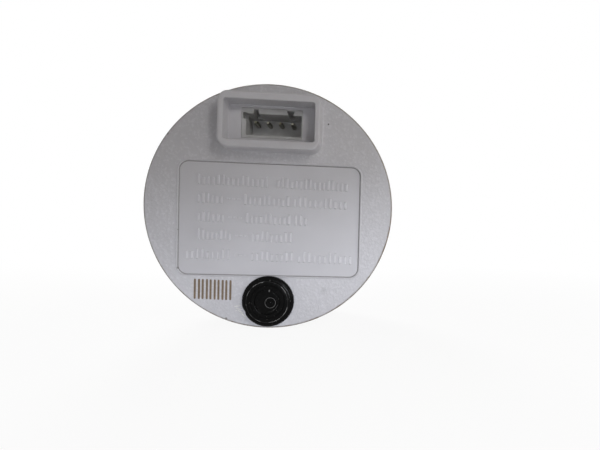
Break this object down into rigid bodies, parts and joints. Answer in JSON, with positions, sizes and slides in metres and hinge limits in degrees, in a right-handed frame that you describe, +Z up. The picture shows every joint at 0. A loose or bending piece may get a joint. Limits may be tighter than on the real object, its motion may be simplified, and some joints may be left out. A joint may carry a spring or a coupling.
{
  "type": "fuel gauge",
  "caption": "Round panel fuel gauge: moulded case with a connector collar, label recess and rubber plug behind, dial with a geared stepper pointer in front.",
  "frame": {"origin": "on the dial's axis, in the plane of the bezel's rear edge, which seats on the mouth of the hole that the gauge is pushed into", "axes": "+Y out of the back, so the dial faces -Y; +Z up through the connector's collar; +X to the right as the dial is read"},
  "size_m": [0.051, 0.0344, 0.051],
  "materials": {
    "case_white": "fine moulded texture",
    "white_plastic": "moulded",
    "black_plastic": "satin",
    "black_rubber": "moulded",
    "clear_lens": "polished",
    "board": "solder mask",
    "resin": "moulded",
    "lamp": "cast",
    "steel": "plated",
    "tinned_brass": "tin plated",
    "iron": "stamped",
    "copper": "enamelled wire",
    "gear": "moulded",
    "aluminium": "sleeved",
    "needle": "painted"
  },
  "bodies": {
    "housing": {"bezel": "black_plastic", "board_screw_1": "steel", "board_screw_2": "steel", "board_screw_3": "steel", "board_screw_4": "steel", "case_seal": "black_rubber", "circuit_board": "board", "coil_left": "copper", "coil_right": "copper", "connector_header": "white_plastic", "contact_pin_1": "tinned_brass", "contact_pin_2": "tinned_brass", "contact_pin_3": "tinned_brass", "contact_pin_4": "tinned_brass", "dial_plate": "black_plastic", "driver_chip": "resin", "filter_capacitor": "aluminium", "lamp_1": "lamp", "lamp_2": "lamp", "lamp_3": "lamp", "lamp_4": "lamp", "lamp_5": "lamp", "lens": "clear_lens", "lens_gasket": "black_rubber", "light_frame": "white_plastic", "motor_case": "white_plastic", "motor_cover": "white_plastic", "processor": "resin", "rear_case": "case_white", "reverse_diode": "resin", "rubber_plug": "black_rubber", "stator": "iron", "visor_ring": "black_plastic", "voltage_regulator": "resin"},
    "pointer_body": {"pointer": "needle", "pointer_cap": "black_plastic", "output_wheel": "gear"},
    "intermediate_body": {"intermediate_wheel": "gear"},
    "rotor_body": {"rotor": "iron"}
  },
  "joints": [
    {"name": "rotor_spin", "type": "hinge", "parent": "housing", "child": "rotor_body", "pos_m": [0.00624, 0, -0.00768], "axis": [0, 1, 0], "range_deg": [0, 16200]},
    {"name": "intermediate_spin", "type": "hinge", "parent": "housing", "child": "intermediate_body", "pos_m": [0, 0, -0.00768], "axis": [0, 1, 0], "range_deg": [-1350.5, 0.5]},
    {"name": "pointer_swing", "type": "hinge", "parent": "housing", "child": "pointer_body", "pos_m": [0, 0, 0], "axis": [0, 1, 0], "range_deg": [-0.1, 90.1]}
  ],
  "couplings": [
    {"joint": "intermediate_spin", "follows": "rotor_spin", "ratio": -0.083333},
    {"joint": "pointer_swing", "follows": "rotor_spin", "ratio": 0.0055556}
  ]
}
